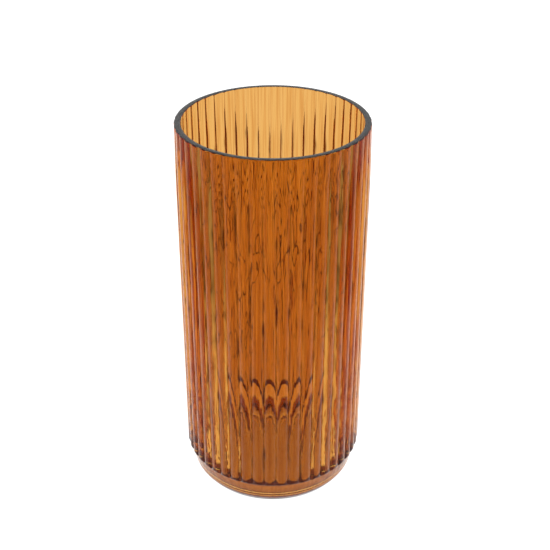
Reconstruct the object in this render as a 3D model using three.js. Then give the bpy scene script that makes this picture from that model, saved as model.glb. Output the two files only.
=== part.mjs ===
// A tall cylindrical vase of blown amber glass: upright ribs outside, a smooth bore inside,
// a flat ground lip and a smooth turned-in foot. Millimetres, +Z up, origin where the axis
// meets the surface that the vase stands on. It is one piece of glass, divided here into the
// four stretches that its maker forms or finishes in turn, which meet face to face.
import * as THREE from "three";

// Overall sizes.
const height = 250;
const ribCrestRadius = 59;
const wallThickness = 4.7; // from a rib's crest to the bore

// Ribs.
const ribCount = 46;
const ribDepth = 1.6; // from a rib's crest to the bottom of the groove beside it
const ribFlatness = 2.2; // 2 is an evenly round rib, more is a flatter crest with a narrower groove
const firstRibAngle = THREE.MathUtils.degToRad(2.11);
const ribFadeLength = 40; // stretch below the mouth over which the grooves grow shallow
const ribDepthAtMouth = 0.62;
const mouthDrawIn = 0.5; // how much the crests lean in over the same stretch

// Lip.
const lipHeight = 3;
const lipRounding = 0.8; // outer edge
const lipBevel = 0.4; // inner edge

// Foot and floor.
const footHeight = 17.4; // from the standing surface to the rib ends
const ribOverhang = 2.1; // how far the rib crests stand out from the top of the foot
const footTaper = 1.6; // how much the foot draws in from its top to its heel
const heelRadius = 8;
const standingRingWidth = 9.3;
const floorThickness = 4.5;
const floorCornerRadius = 6; // inside, between the bore and the floor
const puntHeight = 1.5; // rise of the hollow under the base
const puntEdge = 3; // width of the slope where that hollow starts

// Roundness of the faceted surfaces.
const facetsPerRib = 4;
const ribbedFacets = ribCount * facetsPerRib;
const plainFacets = 96;
const arcSteps = 5;
const ribEndSteps = 3;
const lipRoundSteps = 2;
const fadeSteps = 4;

// What follows from those sizes.
const boreRadius = ribCrestRadius - wallThickness;
const wallTop = height - lipHeight;
const footTopRadius = ribCrestRadius - ribOverhang;
const heelCentreRadius = footTopRadius - footTaper - heelRadius;
const standingRingInner = heelCentreRadius - standingRingWidth;
const ribPitch = (2 * Math.PI) / ribCount;

const amberGlass = {
  color: 0xc07418,
  roughness: 0.05,
  metalness: 0,
  transparent: true,
  opacity: 0.45,
};

const point = (radius, z) => new THREE.Vector2(radius, z);

// Points from start to end in equal steps, both ends included.
function spread(start, end, steps) {
  return Array.from({ length: steps + 1 }, (_, i) => start + ((end - start) * i) / steps);
}

// A quarter or part circle as profile points, from one angle to another, in radians.
function arc(centreRadius, centreZ, radius, fromAngle, toAngle, steps = arcSteps) {
  return spread(fromAngle, toAngle, steps).map((angle) =>
    point(centreRadius + radius * Math.cos(angle), centreZ + radius * Math.sin(angle)),
  );
}

// 0 below the stretch where the ribs fade, 1 at the mouth, smooth between.
function mouthShare(z) {
  return THREE.MathUtils.smoothstep(z, height - ribFadeLength, height);
}

function crestRadiusAt(z) {
  return ribCrestRadius - mouthDrawIn * mouthShare(z);
}

function grooveDepthAt(z) {
  return THREE.MathUtils.lerp(ribDepth, ribDepthAtMouth, mouthShare(z));
}

// 0 on a rib's crest, 1 at the bottom of a groove: a rounded rib with a sharp groove.
function grooveShare(angle) {
  const turns = (angle - firstRibAngle) / ribPitch;
  const fromCrest = turns - Math.round(turns);
  return Math.abs(2 * fromCrest) ** ribFlatness;
}

// The inner surface's radius at a height above the floor.
function insideRadiusAt(z) {
  const drop = floorThickness + floorCornerRadius - z;
  if (drop <= 0) return boreRadius;
  return boreRadius - floorCornerRadius + Math.sqrt(floorCornerRadius ** 2 - drop ** 2);
}

// A closed profile turned round the Z axis.
function turned(profile, facets) {
  const geometry = new THREE.LatheGeometry([...profile, profile[0]], facets);
  return geometry.rotateX(Math.PI / 2);
}

// Presses the grooves into every vertex that stands outside the bore. A vertex that is
// already inside the ribbed surface, as at the rounded rib ends, stays where it is.
function pressRibs(geometry) {
  const position = geometry.getAttribute("position");
  for (let i = 0; i < position.count; i += 1) {
    const x = position.getX(i);
    const y = position.getY(i);
    const z = position.getZ(i);
    const radius = Math.hypot(x, y);
    if (radius < boreRadius + lipBevel * 2) continue;
    const ribbed = crestRadiusAt(z) - grooveDepthAt(z) * grooveShare(Math.atan2(y, x));
    const scale = Math.min(radius, ribbed) / radius;
    position.setXY(i, x * scale, y * scale);
  }
  geometry.computeVertexNormals();
  return geometry;
}

function glassPiece(name, geometry) {
  const piece = new THREE.Mesh(geometry, new THREE.MeshStandardMaterial(amberGlass));
  piece.name = name;
  return piece;
}

// The facets of the ribbed stretches start on a crest, so that crests and grooves have edges.
function ribbedPiece(name, profile) {
  const geometry = turned(profile, ribbedFacets).rotateZ(firstRibAngle);
  return glassPiece(name, pressRibs(geometry));
}

// The flat ground band at the mouth, rounded outside and lightly bevelled inside.
function groundLip() {
  const roundCentre = crestRadiusAt(height) - lipRounding;
  const outerEdge = arc(roundCentre, height - lipRounding, lipRounding, 0, Math.PI / 2, lipRoundSteps);
  return ribbedPiece("ground_lip", [
    point(boreRadius, wallTop),
    point(crestRadiusAt(wallTop), wallTop),
    ...outerEdge,
    point(boreRadius + lipBevel, height),
    point(boreRadius, height - lipBevel),
  ]);
}

// The ribbed cylinder, from the rounded rib ends to the lip.
function ribbedWall() {
  const ribEndHeight = footHeight + ribOverhang;
  const ribEnds = arc(footTopRadius, ribEndHeight, ribOverhang, -Math.PI / 2, 0, ribEndSteps);
  const fade = spread(height - ribFadeLength, wallTop, fadeSteps).map((z) => point(crestRadiusAt(z), z));
  const floorCornerTop = floorThickness + floorCornerRadius;
  const corner = footHeight < floorCornerTop ? spread(footHeight, floorCornerTop, 2) : [footHeight];
  const inside = [...corner, wallTop].map((z) => point(insideRadiusAt(z), z));
  return ribbedPiece("ribbed_wall", [...ribEnds, ...fade, ...inside.reverse()]);
}

// The smooth heel, the standing ring and the rounded inner corner above it.
function turnedFoot() {
  const cornerTop = Math.min(footHeight, floorThickness + floorCornerRadius);
  const cornerCentre = floorThickness + floorCornerRadius;
  const cornerEnd = -Math.asin((cornerCentre - cornerTop) / floorCornerRadius);
  const corner = arc(
    boreRadius - floorCornerRadius,
    cornerCentre,
    floorCornerRadius,
    -Math.PI / 2,
    cornerEnd,
  );
  const upright = cornerTop < footHeight ? [point(boreRadius, footHeight)] : [];
  return glassPiece(
    "turned_foot",
    turned(
      [
        point(standingRingInner, 0),
        ...arc(heelCentreRadius, heelRadius, heelRadius, -Math.PI / 2, 0),
        point(footTopRadius, footHeight),
        ...upright,
        ...corner.reverse(),
        point(standingRingInner, floorThickness),
      ],
      plainFacets,
    ),
  );
}

// The middle of the base, with its shallow hollow underneath.
function baseFloor() {
  return glassPiece(
    "base_floor",
    turned(
      [
        point(0, puntHeight),
        point(standingRingInner - puntEdge, puntHeight),
        point(standingRingInner, 0),
        point(standingRingInner, floorThickness),
        point(0, floorThickness),
      ],
      plainFacets,
    ),
  );
}

const vase = new THREE.Group();
vase.add(groundLip(), ribbedWall(), turnedFoot(), baseFloor());

export default vase;
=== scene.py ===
import math

import bmesh
import bpy
from bpy.props import FloatProperty, FloatVectorProperty, IntProperty, PointerProperty
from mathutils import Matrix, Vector


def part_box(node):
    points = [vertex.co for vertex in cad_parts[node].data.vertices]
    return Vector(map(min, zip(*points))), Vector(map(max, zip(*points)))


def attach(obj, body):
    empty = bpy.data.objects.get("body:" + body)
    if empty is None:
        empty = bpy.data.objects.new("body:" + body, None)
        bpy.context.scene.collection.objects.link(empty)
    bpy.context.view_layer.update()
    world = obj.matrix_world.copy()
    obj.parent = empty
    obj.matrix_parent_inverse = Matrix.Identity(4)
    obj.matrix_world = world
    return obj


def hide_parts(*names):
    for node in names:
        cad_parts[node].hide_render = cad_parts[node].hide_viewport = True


bl_info = {
    "name": "Ribbed blown glass vase",
    "version": (1, 0, 0),
    "blender": (4, 5, 0),
    "location": "3D View > Sidebar > Vase",
    "description": "Builds an amber blown glass vase with upright ribs, and a stage to show it on",
    "category": "Object",
}

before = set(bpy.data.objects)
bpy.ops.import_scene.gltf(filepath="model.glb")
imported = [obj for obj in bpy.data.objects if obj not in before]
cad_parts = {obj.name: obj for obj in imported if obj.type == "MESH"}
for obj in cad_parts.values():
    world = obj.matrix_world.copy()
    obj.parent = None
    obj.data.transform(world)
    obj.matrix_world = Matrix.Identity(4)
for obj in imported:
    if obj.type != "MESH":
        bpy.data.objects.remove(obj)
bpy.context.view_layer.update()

GLASS_SOLIDS = ("ground_lip", "ribbed_wall", "turned_foot", "base_floor")
PAINTED_SHADE = "painted_shade"  # the mesh attribute that says where shade is painted: on the steep sides of the grooves and under the rib ends
HEEL_SHADE = "heel"  # the mesh attribute that marks the curve where the foot turns under, where shade is painted
COLUMNS_PER_RIB = 20
COLUMN_CROWDING = 1.6  # above 1, the columns of faces crowd toward the bottoms of the grooves
FULL_SHADE = 1.5  # the mark for a place that is wholly in painted shade
TOUCHING = 1e-6  # corners closer than this are one corner

# How finely the outline is stepped, from the heel up the outside and down the inside.
HEEL_STEPS = 12
FOOT_STEPS = 2
RIB_END_STEPS = 8
WALL_STEPS = 8
FADE_STEPS = 20
LIP_STEPS = 4
BEVEL_STEPS = 3
BORE_STEPS = 8
CORNER_STEPS = 8

# Extra points of the outline, in metres, which keep the shading flat beside a sharp turn.
UNDERSIDE_POINT = 0.02  # from the axis
FLOOR_POINT = 0.03  # from the axis
BELOW_FOOT_TOP = 0.001
ABOVE_RIB_END = 0.004
BELOW_LIP = 0.002

# The painted shade by the foot, on the heel and under the rib ends: its start and full strength, as parts of
# the heel's radius or the overhang.
HEEL_SHADE_FULL = 0.7
RIB_END_SHADE_TOP = 2.0
RIB_END_SHADE_FULL = 0.8

# Patterns in the glass, and in the painted shade of the grooves and of the dark loops on the front. Pairs
# are where a pattern starts and where it is full, sizes are along X, Y and Z.
SHADE_CORD_LINE = (0.42, 0.5)
SHADE_CORD_PATCH = (0.012, 0.012, 0.05)
SHADE_CORD_PATCH_EDGE = (0.44, 0.56)
SHADE_CORD_FADE_IN = 0.07
SHADE_CORD_FADE_OUT = 0.008
SHADE_CORD_FRONT = (0.01, -0.02)
GROOVE_PATCH = (0.004, 0.004, 0.015)
STREAK_EDGE = (0.45, 0.62)
CHILL_FULL = 3  # the chill marks are full at the height where they end, divided by this

# The stage.
FLOOR_RADIUS = 4
FLOOR_SIDES = 96
FLOOR_ROUGHNESS = 0.8
CONTACT_INSET = 0.0072  # from the top of the foot in to where the heel meets the floor
# Widths of the painted shade under the vase and of the painted contact shadow round the heel.
SHADE_EDGE = 0.006
CONTACT_EDGE = (0.0008, 0.0022)
ROOM_DEPTH = (-0.6, 0.8)
ROOM_TOP = (0.45, 0.9)
CAMERA_AWAY = 9.909  # crest radii from the axis
CAMERA_UP = 7.998  # crest radii above the top of the foot
SENSOR_WIDTH = 36
GLASS_BOUNCES = 32
GLOSS_BOUNCES = 16
FLOOR_BOUNCES = 4


def radii(node):
    """How far the solid's corners lie from the axis."""
    return [corner.co.xy.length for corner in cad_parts[node].data.vertices]


LIP_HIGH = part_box("ground_lip")[1]
FOOT_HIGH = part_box("turned_foot")[1]
CREST_RADIUS = max(radii("ribbed_wall"))
MOUTH_RADIUS = max(radii("ground_lip"))
BORE_RADIUS = min(radii("ground_lip"))
FOOT_TOP_RADIUS = max(radii("turned_foot"))
HOLLOW_RADIUS = max(radii("base_floor"))
CONTACT_RADIUS = FOOT_TOP_RADIUS - CONTACT_INSET  # where the painted contact shadow on the floor is darkest


def length(name, description, default):
    """A size in metres."""
    return FloatProperty(name=name, description=description, default=default, unit="LENGTH", precision=5)


def tint(name, description, default):
    """A colour."""
    return FloatVectorProperty(
        name=name, description=description, default=default, subtype="COLOR", min=0.0, max=1.0
    )


def level(name, description, default):
    """A plain number."""
    return FloatProperty(name=name, description=description, default=default, precision=4)


def slant(name, description, degrees):
    """An angle."""
    return FloatProperty(
        name=name, description=description, default=math.radians(degrees), subtype="ANGLE", precision=3
    )


def share(name, description, default):
    """A part of the whole, from 0 to 1."""
    return FloatProperty(name=name, description=description, default=default, min=0.0, max=1.0)


class VaseGlassSettings(bpy.types.PropertyGroup):
    """Sizes and finish of the glass."""

    rib_count: IntProperty(name="Ribs", description="Upright ribs round the vase", default=46, min=3)
    rib_depth: length("Rib depth", "From a rib's crest to the bottom of the groove beside it", 0.0016)
    rib_power: level("Rib flatness", "2 is an evenly round rib, more is a flatter crest", 2.2)
    first_rib: slant("First rib", "Angle of the first rib's crest round the axis", 2.11)
    fade_length: length("Rib fade", "Stretch below the mouth where the grooves grow shallow", 0.040)
    depth_at_mouth: length("Rib depth at the mouth", "What is left of the grooves at the lip", 0.00062)
    lip_round: length("Lip rounding", "Radius of the lip's outer edge", 0.0008)
    lip_bevel: length("Lip bevel", "Radius of the lip's inner edge", 0.0004)
    heel_round: length("Heel rounding", "Radius where the foot turns under", 0.008)
    foot_taper: length("Foot taper", "How much the foot draws in from its top to its heel", 0.0016)
    floor_thickness: length("Floor thickness", "Glass under the vase's inside", 0.0045)
    corner_round: length("Inside corner", "Radius between the bore and the floor", 0.006)
    punt_height: length("Punt height", "Rise of the shallow hollow under the base", 0.0015)
    punt_slope: length("Punt slope", "Width of the slope where that hollow starts", 0.003)
    amber: tint("Amber", "Light that each face of the glass lets through", (0.685, 0.42, 0.16))
    # Painted shade: this dark amber is painted on the steep sides of the grooves, under the rib ends and in
    # the dark loops on the front.
    shade_amber: tint("Deep amber", "The same where the colour lies thickest", (0.03, 0.003, 0.0006))
    # Painted shade: the curve where the foot turns under is painted a much darker amber.
    heel_shade_amber: tint("Heel amber", "The same on the curve where the foot turns under", (0.12, 0.016, 0.001))
    # Where the painted shade on a groove's steep sides starts, where it is full, and how unevenly it runs.
    groove_shade_start: level("Groove start", "Steepness of a rib's side where the colour starts to deepen", 0.62)
    groove_shade_full: level("Groove full", "Steepness of a rib's side where the colour is deepest", 1.1)
    groove_shade_sway: level("Groove sway", "How unevenly the deep colour runs along a groove", 1.0)
    streak: share("Streaks", "How much thin upright streaks darken the colour", 0.5)
    streak_width: length("Streak width", "Width of a streak round the vase", 0.0011)
    streak_rise: length("Streak rise", "Height of a streak up the vase", 0.05)
    # Painted shade: dark loops painted on the front half of the vase only, in the same dark amber as the
    # grooves.
    shade_cords: share("Cords", "How strongly the thin dark cords at the front show", 1.0)
    shade_cord_width: length("Cord width", "Width of a loop of the cords", 0.0035)
    shade_cord_rise: length("Cord rise", "Height of a loop of the cords", 0.036)
    shade_cord_rings: level("Cord rings", "How many cords lie inside one loop", 4.5)
    shade_cord_low: length("Lowest cords", "Height where the cords start", 0.08)
    shade_cord_high: length("Highest cords", "Height where the cords end", 0.244)
    body_amber: tint("Body colour", "Light that the glass itself lets through", (0.90, 0.62, 0.0))
    body_density: level("Body density", "How strongly the glass itself colours light, per metre", 105.0)
    mirror: share("Mirror", "How much of a clear glass's reflection the faces keep", 0.05)
    bend: level("Bend", "Index of refraction of the glass", 1.5)
    ripple_height: length("Ripple height", "Height of the upright ripples on both faces", 0.00012)
    ripple_width: length("Ripple width", "Width of a ripple round the vase", 0.0016)
    ripple_rise: length("Ripple rise", "Height of a ripple up the vase", 0.07)
    chill: level("Chill marks", "Depth of the short marks low down, against that of the ripples", 2.0)
    chill_width: length("Chill mark width", "Width of a chill mark round the vase", 0.002)
    chill_rise: length("Chill mark rise", "Height of a chill mark up the vase", 0.008)
    chill_top: length("Chill mark top", "Height where the chill marks end", 0.12)


class VaseStageSettings(bpy.types.PropertyGroup):
    """The floor, the light and the camera."""

    floor_colour: tint("Floor", "Colour of the plain floor", (0.3, 0.3, 0.3))
    # Painted light: the floor glows by its own emission, in a pool round and behind the vase and dimmer
    # beyond.
    pool_light: level("Pool light", "Soft light on the floor round and behind the vase", 1.2)
    far_light: level("Far light", "Soft light on the rest of the floor", 0.5)
    pool_side: length("Pool side", "Half width of the brightest floor beside the vase", 0.168)
    pool_front: length("Pool front", "How far the brightest floor reaches in front of the vase's axis", 0.10)
    pool_spread: level("Pool spread", "How much the brightest floor widens behind the vase", 0.19)
    pool_edge: length("Pool edge", "Width of the soft edge of the brightest floor", 0.17)
    # Painted shade in the floor's glow: under the vase, and a painted contact shadow where the heel meets
    # the floor.
    shade: share("Shade", "Share of the light that is left under the vase", 0.7)
    contact_shadow: share("Contact shade", "Share of the light that is left where the heel meets the floor", 0.12)
    back_light: level("Back light", "Soft light from behind the vase", 1.0)
    front_light: level("Front light", "Soft light from the camera's side", 0.7)
    overhead_light: share("Overhead light", "Share of the light that comes from overhead", 0.2)
    camera_distance: length(
        "Camera distance", "From the vase's axis, along the floor", CAMERA_AWAY * CREST_RADIUS
    )
    camera_height: length("Camera height", "Above the floor", CAMERA_UP * CREST_RADIUS + FOOT_HIGH.z)
    camera_dip: slant("Camera dip", "How far the camera looks down", 30.59)
    camera_shift: level("Camera shift", "Sideways shift of the view, as a share of its width", 0.0039)
    lens: level("Lens", "Focal length in millimetres", 69.4)


def smoothstep(low, high, value):
    """0 below low, 1 above high, with a smooth turn between."""
    part = min(max((value - low) / (high - low), 0.0), 1.0)
    return part * part * (3 - 2 * part)


def arc(centre_radius, centre_height, radius, start, end, steps):
    """Points of an arc in the profile plane, from one angle to another in degrees."""
    angles = [math.radians(start + (end - start) * i / steps) for i in range(steps + 1)]
    return [
        Vector((centre_radius + radius * math.cos(a), 0, centre_height + radius * math.sin(a)))
        for a in angles
    ]


def rise(radius_at, low, high, steps):
    """Points straight up a wall whose radius depends on height."""
    heights = [low + (high - low) * i / steps for i in range(steps + 1)]
    return [Vector((radius_at(z), 0, z)) for z in heights]


def turn(mesh, points, wedges, steps):
    """Turns a chain of points round the axis: one wedge in fine steps, then copies of the wedge."""
    corners = [mesh.verts.new(p) for p in points]
    edges = [mesh.edges.new(pair) for pair in zip(corners, corners[1:])]
    centre = (0, 0, 0)
    axis = (0, 0, 1)
    wedge = math.tau / wedges
    bmesh.ops.spin(mesh, geom=corners + edges, cent=centre, axis=axis, angle=wedge, steps=steps)
    bmesh.ops.spin(
        mesh,
        geom=mesh.verts[:] + mesh.edges[:] + mesh.faces[:],
        cent=centre,
        axis=axis,
        angle=math.tau - wedge,
        steps=wedges - 1,
        use_duplicate=True,
    )
    bmesh.ops.remove_doubles(mesh, verts=mesh.verts, dist=TOUCHING)


class VaseShape:
    """The vase's outline and ribs, worked out from the frame and the settings."""

    def __init__(self, settings):
        self.settings = settings
        self.height = LIP_HIGH.z
        self.foot = FOOT_HIGH.z
        self.overhang = CREST_RADIUS - FOOT_TOP_RADIUS
        self.fade_start = self.height - settings.fade_length
        self.pitch = math.tau / settings.rib_count
        self.heel_centre = FOOT_TOP_RADIUS - settings.foot_taper - settings.heel_round

    def mouth_share(self, z):
        """0 below the stretch where the ribs fade, 1 at the mouth."""
        return smoothstep(self.fade_start, self.height, z)

    def crest_at(self, z):
        """The radius over the ribs' crests."""
        return CREST_RADIUS - (CREST_RADIUS - MOUTH_RADIUS) * self.mouth_share(z)

    def depth_at(self, z):
        """How deep the grooves are."""
        mouth = self.mouth_share(z)
        return self.settings.rib_depth * (1 - mouth) + self.settings.depth_at_mouth * mouth

    def foot_at(self, z):
        """The foot's radius between its heel and its top."""
        heel = self.settings.heel_round
        return FOOT_TOP_RADIUS - self.settings.foot_taper * (self.foot - z) / (self.foot - heel)

    def outline(self):
        """The closed half section, from the middle of the underside round to the middle of the floor."""
        s = self.settings
        lip_radius = self.crest_at(self.height) - s.lip_round
        corner_radius = BORE_RADIUS - s.corner_round
        corner_height = s.floor_thickness + s.corner_round
        rib_end = self.foot + self.overhang
        underside = (0.0, UNDERSIDE_POINT, HOLLOW_RADIUS - s.punt_slope)
        points = [Vector((r, 0, s.punt_height)) for r in underside]
        points += [Vector((HOLLOW_RADIUS, 0, 0))]
        points += arc(self.heel_centre, s.heel_round, s.heel_round, -90, 0, HEEL_STEPS)
        points += rise(self.foot_at, self.foot / 2, self.foot - BELOW_FOOT_TOP, FOOT_STEPS)
        points += [Vector((FOOT_TOP_RADIUS, 0, self.foot))]
        points += arc(FOOT_TOP_RADIUS, rib_end, self.overhang, -90, 0, RIB_END_STEPS)[1:]
        points += rise(self.crest_at, rib_end + ABOVE_RIB_END, self.fade_start, WALL_STEPS)
        points += rise(self.crest_at, self.fade_start, self.height - s.lip_round, FADE_STEPS)[1:]
        points += arc(lip_radius, self.height - s.lip_round, s.lip_round, 0, 90, LIP_STEPS)[1:]
        bevel_radius = BORE_RADIUS + s.lip_bevel
        points += arc(bevel_radius, self.height - s.lip_bevel, s.lip_bevel, 90, 180, BEVEL_STEPS)
        points += rise(lambda z: BORE_RADIUS, self.height - BELOW_LIP, corner_height, BORE_STEPS)
        points += arc(corner_radius, corner_height, s.corner_round, 0, -90, CORNER_STEPS)[1:]
        points += [Vector((r, 0, s.floor_thickness)) for r in (FLOOR_POINT, 0.0)]
        return points

    def press(self, mesh):
        """Presses the ribs into the outside and marks where shade is painted: on the steep sides of the
        grooves, under the rib ends and on the heel.
        """
        s = self.settings
        # Painted shade: the steep sides of the grooves and the rib ends are marked for a dark amber.
        deep = mesh.verts.layers.float.new(PAINTED_SHADE)
        heel = mesh.verts.layers.float.new(HEEL_SHADE)
        half_rib = math.pi * CREST_RADIUS / s.rib_count
        shade_top = self.foot + RIB_END_SHADE_TOP * self.overhang
        shade_full = self.foot + RIB_END_SHADE_FULL * self.overhang
        for v in mesh.verts:
            radius = v.co.xy.length
            from_heel_centre = math.hypot(radius - self.heel_centre, v.co.z - s.heel_round)
            # Painted shade on the heel, full on its lower part.
            if abs(from_heel_centre - s.heel_round) < TOUCHING and v.co.z < s.heel_round:
                v[heel] = smoothstep(s.heel_round, HEEL_SHADE_FULL * s.heel_round, v.co.z)
            turns = math.atan2(v.co.y, v.co.x) / self.pitch
            crest = round(turns)
            from_crest = 1 - (1 - min(2 * abs(turns - crest), 1)) ** COLUMN_CROWDING
            angle = s.first_rib + self.pitch * (crest + math.copysign(from_crest / 2, turns - crest))
            if radius > BORE_RADIUS + 2 * s.lip_bevel and v.co.z > self.foot:
                depth = self.depth_at(v.co.z)
                radius = min(radius, self.crest_at(v.co.z) - depth * from_crest ** s.rib_power)
                steepness = s.rib_power * depth / half_rib * from_crest ** (s.rib_power - 1)
                # Painted shade under the rib ends, where the ribs overhang the foot.
                shade_under_ribs = smoothstep(shade_top, shade_full, v.co.z)
                v[deep] = max(steepness, FULL_SHADE * shade_under_ribs)
            v.co.x = radius * math.cos(angle)
            v.co.y = radius * math.sin(angle)


class VASE_OT_glass(bpy.types.Operator):
    """Builds the vase's one piece of glass"""

    bl_idname = "vase.glass"
    bl_label = "Glass"

    def execute(self, context):
        settings = context.scene.vase_glass
        shape = VaseShape(settings)
        mesh = bmesh.new()
        turn(mesh, shape.outline(), settings.rib_count, COLUMNS_PER_RIB)
        shape.press(mesh)
        bmesh.ops.recalc_face_normals(mesh, faces=mesh.faces)
        for face in mesh.faces:
            face.smooth = True
        data = bpy.data.meshes.new("vase_glass")
        mesh.to_mesh(data)
        mesh.free()
        vessel = bpy.data.objects.new("vase_glass", data)
        context.scene.collection.objects.link(vessel)
        data.materials.append(amber_glass(settings))
        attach(vessel, "root")
        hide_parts(*GLASS_SOLIDS)
        return {"FINISHED"}


class NodeBench:
    """Short ways to lay out a material's or a world's nodes."""

    def __init__(self, owner):
        owner.use_nodes = True
        self.nodes = owner.node_tree.nodes
        self.links = owner.node_tree.links

    def add(self, kind, **values):
        """Adds a node and sets its properties."""
        node = self.nodes.new(kind)
        for name, value in values.items():
            setattr(node, name, value)
        return node

    def feed(self, socket, source):
        """Joins a socket to another node's output, or sets its number or colour."""
        if isinstance(source, bpy.types.NodeSocket):
            self.links.new(source, socket)
        else:
            socket.default_value = source

    def sum(self, operation, *sources):
        """One step of arithmetic."""
        node = self.add("ShaderNodeMath", operation=operation)
        for socket, source in zip(node.inputs, sources):
            self.feed(socket, source)
        return node.outputs[0]

    def fade(self, source, low, high, at_low=0.0, at_high=1.0):
        """A smooth change from one value to another as the source goes from low to high."""
        node = self.add("ShaderNodeMapRange", interpolation_type="SMOOTHSTEP")
        for name, value in (("Value", source), ("From Min", low), ("From Max", high)):
            self.feed(node.inputs[name], value)
        self.feed(node.inputs["To Min"], at_low)
        self.feed(node.inputs["To Max"], at_high)
        return node.outputs[0]

    def noise(self, size, detail):
        """Uneven patches of the given size along X, Y and Z, in metres."""
        place = self.add("ShaderNodeTexCoord")
        stretch = self.add("ShaderNodeMapping")
        self.feed(stretch.inputs["Scale"], [1 / s for s in size])
        self.feed(stretch.inputs["Vector"], place.outputs["Object"])
        pattern = self.add("ShaderNodeTexNoise")
        self.feed(pattern.inputs["Scale"], 1.0)
        self.feed(pattern.inputs["Detail"], detail)
        self.feed(pattern.inputs["Vector"], stretch.outputs["Vector"])
        return pattern.outputs["Fac"]

    def place(self, kind):
        """The X, Y and Z of the place that is being coloured."""
        apart = self.add("ShaderNodeSeparateXYZ")
        self.feed(apart.inputs[0], self.add("ShaderNodeTexCoord").outputs[kind])
        return apart.outputs

    def blend(self, part, first, second):
        """A colour between two others."""
        node = self.add("ShaderNodeMix", data_type="RGBA")
        for socket, source in zip((node.inputs[0], node.inputs[6], node.inputs[7]), (part, first, second)):
            self.feed(socket, source)
        return node.outputs[2]


def shade_cord_lines(bench, settings, y, z):
    """Painted shade: thin dark lines in long loops, gathered in patches on the vase's front."""
    loops = bench.noise((settings.shade_cord_width, settings.shade_cord_width, settings.shade_cord_rise), 1.0)
    rings = bench.sum("PINGPONG", bench.sum("MULTIPLY", loops, settings.shade_cord_rings), 0.5)
    lines = bench.fade(rings, *SHADE_CORD_LINE)
    patches = bench.fade(bench.noise(SHADE_CORD_PATCH, 0.0), *SHADE_CORD_PATCH_EDGE)
    above = bench.fade(z, settings.shade_cord_low, settings.shade_cord_low + SHADE_CORD_FADE_IN)
    below = bench.fade(z, settings.shade_cord_high, settings.shade_cord_high - SHADE_CORD_FADE_OUT)
    # The painted shade is kept to the front half of the vase.
    front = bench.fade(y, *SHADE_CORD_FRONT, 0.0, settings.shade_cords)
    shown = lines
    for part in (patches, above, below, front):
        shown = bench.sum("MULTIPLY", shown, part)
    return shown


def groove_shade(bench, settings):
    """Where shade is painted in the grooves and under the rib ends, uneven along each groove."""
    steepness = bench.add("ShaderNodeAttribute", attribute_name=PAINTED_SHADE).outputs["Fac"]
    sway = bench.sum("SUBTRACT", bench.noise(GROOVE_PATCH, 1.0), 0.5)
    uneven = bench.sum("ADD", steepness, bench.sum("MULTIPLY", sway, settings.groove_shade_sway))
    return bench.fade(uneven, settings.groove_shade_start, settings.groove_shade_full)


def ripples(bench, settings, z):
    """Upright ripples in both faces, with short chill marks low down."""
    upright = bench.noise((settings.ripple_width, settings.ripple_width, settings.ripple_rise), 1.0)
    marks = bench.noise((settings.chill_width, settings.chill_width, settings.chill_rise), 1.0)
    low_down = bench.fade(z, settings.chill_top, settings.chill_top / CHILL_FULL, 0.0, settings.chill)
    bump = bench.add("ShaderNodeBump")
    bench.feed(bump.inputs["Distance"], settings.ripple_height)
    bench.feed(bump.inputs["Height"], bench.sum("ADD", upright, bench.sum("MULTIPLY", marks, low_down)))
    return bump.outputs["Normal"]


def amber_glass(settings):
    """Clear glass with an amber colour on its faces and a little in its body, with painted shade in the
    grooves, under the rib ends, on the heel and in dark loops on the front.
    """
    material = bpy.data.materials.new("amber_glass")
    bench = NodeBench(material)
    shader = bench.nodes["Principled BSDF"]
    _, y, z = bench.place("Object")
    amber = (*settings.amber, 1)
    twice_amber = (*[part ** 2 for part in settings.amber], 1)
    streaks = bench.noise((settings.streak_width, settings.streak_width, settings.streak_rise), 2.0)
    streaked = bench.fade(streaks, *STREAK_EDGE, 0.0, settings.streak)
    colour = bench.blend(streaked, amber, twice_amber)
    # Painted shade: the heel is coloured a much darker amber.
    heel_shade_share = bench.add("ShaderNodeAttribute", attribute_name=HEEL_SHADE).outputs["Fac"]
    colour = bench.blend(heel_shade_share, colour, (*settings.heel_shade_amber, 1))
    shade_share = bench.sum("MAXIMUM", groove_shade(bench, settings), shade_cord_lines(bench, settings, y, z))
    # Painted shade: a dark amber in the grooves, under the rib ends and in the dark loops on the front.
    colour = bench.blend(shade_share, colour, (*settings.shade_amber, 1))
    bench.feed(shader.inputs["Base Color"], colour)
    bench.feed(shader.inputs["Transmission Weight"], 1.0)
    bench.feed(shader.inputs["IOR"], settings.bend)
    bench.feed(shader.inputs["Roughness"], 0.0)
    bench.feed(shader.inputs["Specular Tint"], (*[settings.mirror] * 3, 1))
    bench.feed(shader.inputs["Normal"], ripples(bench, settings, z))
    body = bench.add("ShaderNodeVolumeAbsorption")
    bench.feed(body.inputs["Color"], (*settings.body_amber, 1))
    bench.feed(body.inputs["Density"], settings.body_density)
    bench.feed(bench.nodes["Material Output"].inputs["Volume"], body.outputs["Volume"])
    return material


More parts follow.
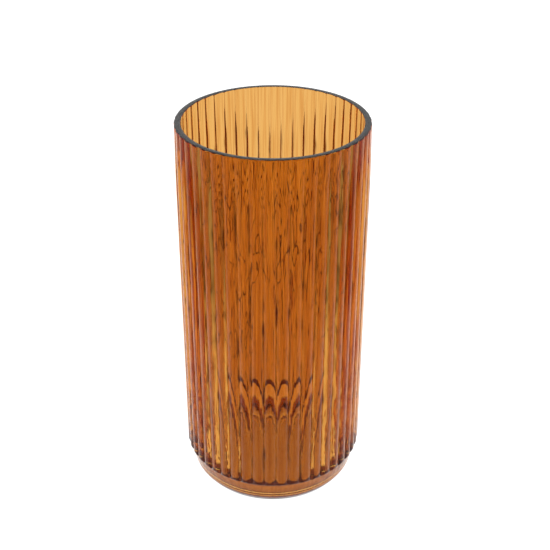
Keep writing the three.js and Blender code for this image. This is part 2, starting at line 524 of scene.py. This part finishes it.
def glowing_floor(settings):
    """A plain pale surface that glows with painted light, brightest round and behind the vase, with a
    painted soft shade where it stands and a painted contact shadow round the heel.
    """
    material = bpy.data.materials.new("glowing_floor")
    bench = NodeBench(material)
    shader = bench.nodes["Principled BSDF"]
    x, y, _ = bench.place("Object")
    spread = bench.sum("MULTIPLY", bench.sum("MAXIMUM", y, 0.0), settings.pool_spread)
    beside = bench.sum("SUBTRACT", bench.sum("ABSOLUTE", x), spread)
    across = bench.fade(beside, settings.pool_side + settings.pool_edge, settings.pool_side)
    along = bench.fade(y, -settings.pool_front - settings.pool_edge, -settings.pool_front)
    in_pool = bench.sum("MULTIPLY", across, along)
    light = bench.fade(in_pool, 0.0, 1.0, settings.far_light, settings.pool_light)
    squares = bench.sum("ADD", bench.sum("MULTIPLY", x, x), bench.sum("MULTIPLY", y, y))
    from_axis = bench.sum("SQRT", squares)
    # Painted shade under the vase, and a painted contact shadow in a thin ring where the heel meets the
    # floor.
    under = bench.fade(from_axis, CONTACT_RADIUS - SHADE_EDGE, CONTACT_RADIUS, settings.shade, 1.0)
    from_contact = bench.sum("ABSOLUTE", bench.sum("SUBTRACT", from_axis, CONTACT_RADIUS))
    contact_shadow = bench.fade(from_contact, *CONTACT_EDGE, settings.contact_shadow, 1.0)
    shaded = bench.sum("MULTIPLY", bench.sum("MULTIPLY", light, under), contact_shadow)
    bench.feed(shader.inputs["Base Color"], (*settings.floor_colour, 1))
    bench.feed(shader.inputs["Roughness"], FLOOR_ROUGHNESS)
    bench.feed(shader.inputs["Specular IOR Level"], 0.0)
    # Painted light: the floor glows with this emission, a pool of painted light with painted shade under the
    # vase.
    bench.feed(shader.inputs["Emission Color"], (1, 1, 1, 1))
    bench.feed(shader.inputs["Emission Strength"], shaded)
    return material


def soft_room(settings):
    """Even light from all round, strongest behind the vase and weakest overhead."""
    world = bpy.data.worlds.new("soft_room")
    bench = NodeBench(world)
    background = bench.nodes["Background"]
    _, y, z = bench.place("Generated")
    around = bench.fade(y, *ROOM_DEPTH, settings.front_light, settings.back_light)
    overhead = bench.fade(z, *ROOM_TOP, 1.0, settings.overhead_light)
    bench.feed(background.inputs["Color"], (1, 1, 1, 1))
    bench.feed(background.inputs["Strength"], bench.sum("MULTIPLY", around, overhead))
    return world


class VASE_OT_stage(bpy.types.Operator):
    """Makes the pale floor with its painted glow, the soft light and the camera"""

    bl_idname = "vase.stage"
    bl_label = "Stage"

    def execute(self, context):
        settings = context.scene.vase_stage
        scene = context.scene
        mesh = bmesh.new()
        bmesh.ops.create_circle(mesh, cap_ends=True, radius=FLOOR_RADIUS, segments=FLOOR_SIDES)
        data = bpy.data.meshes.new("floor")
        mesh.to_mesh(data)
        mesh.free()
        floor = bpy.data.objects.new("floor", data)
        scene.collection.objects.link(floor)
        data.materials.append(glowing_floor(settings))
        scene.world = soft_room(settings)

        camera_data = bpy.data.cameras.new("camera")
        camera_data.lens = settings.lens
        camera_data.sensor_width = SENSOR_WIDTH
        camera_data.shift_x = settings.camera_shift
        camera = bpy.data.objects.new("camera", camera_data)
        camera.location = (0, -settings.camera_distance, settings.camera_height)
        camera.rotation_euler = (math.pi / 2 - settings.camera_dip, 0, 0)
        scene.collection.objects.link(camera)
        scene.camera = camera

        scene.view_settings.view_transform = "Standard"
        scene.cycles.max_bounces = GLASS_BOUNCES
        scene.cycles.transmission_bounces = GLASS_BOUNCES
        scene.cycles.glossy_bounces = GLOSS_BOUNCES
        scene.cycles.diffuse_bounces = FLOOR_BOUNCES
        scene.cycles.caustics_reflective = True
        scene.cycles.caustics_refractive = True
        return {"FINISHED"}


class VASE_PT_panel(bpy.types.Panel):
    """Lists the pieces that can be built"""

    bl_idname = "VASE_PT_panel"
    bl_label = "Ribbed glass vase"
    bl_space_type = "VIEW_3D"
    bl_region_type = "UI"
    bl_category = "Vase"

    def draw(self, context):
        for name in ("vase.stage", "vase.glass"):
            self.layout.operator(name)


CLASSES = (VaseGlassSettings, VaseStageSettings, VASE_OT_glass, VASE_OT_stage, VASE_PT_panel)


def register():
    for cls in CLASSES:
        bpy.utils.register_class(cls)
    bpy.types.Scene.vase_glass = PointerProperty(type=VaseGlassSettings)
    bpy.types.Scene.vase_stage = PointerProperty(type=VaseStageSettings)


def unregister():
    del bpy.types.Scene.vase_stage
    del bpy.types.Scene.vase_glass
    for cls in reversed(CLASSES):
        bpy.utils.unregister_class(cls)


def main():
    register()
    bpy.ops.vase.stage()
    bpy.ops.vase.glass()


if __name__ == "__main__":
    main()
